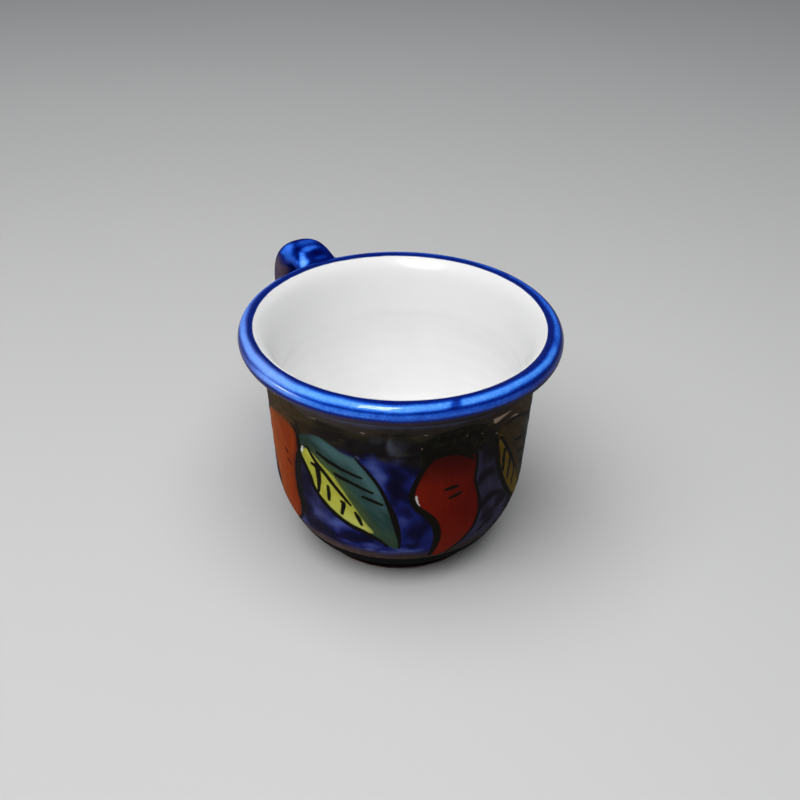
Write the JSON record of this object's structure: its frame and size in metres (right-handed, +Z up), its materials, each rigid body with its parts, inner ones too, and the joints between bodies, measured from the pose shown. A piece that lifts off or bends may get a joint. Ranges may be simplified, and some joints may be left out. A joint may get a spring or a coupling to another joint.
{
  "type": "glazed clay mug",
  "caption": "Rounded clay mug with a rolled blue rim, strap handle, white glazed inside and a hand-painted band of chiles and leaves on a blue ground.",
  "frame": {"origin": "on the table, at the centre of the foot ring, on the axis of the bowl", "axes": "+Z up along the axis of the bowl, +X towards the handle"},
  "size_m": [0.1238, 0.0992, 0.0791],
  "materials": {
    "clay": "fired red clay, matt",
    "dry_clay": "dry fired clay, worn where it stands",
    "slip": "fired clay slip, matt",
    "white_glaze": "glossy white tin glaze",
    "cobalt_glaze": "glossy cobalt blue, brushed on",
    "painted_glaze": "glossy painted band: red, green and yellow on blue with black lines",
    "dark_glaze": "glossy near-black"
  },
  "bodies": {
    "root": {"clay_body": "clay", "foot_ring": "dry_clay", "handle": "clay", "upper_slip_joint": "slip", "lower_slip_joint": "slip", "inside_glaze": "white_glaze", "rim_glaze": "cobalt_glaze", "painted_wall_glaze": "painted_glaze", "foot_glaze": "dark_glaze", "base_glaze": "white_glaze", "handle_glaze": "cobalt_glaze"}
  },
  "joints": []
}
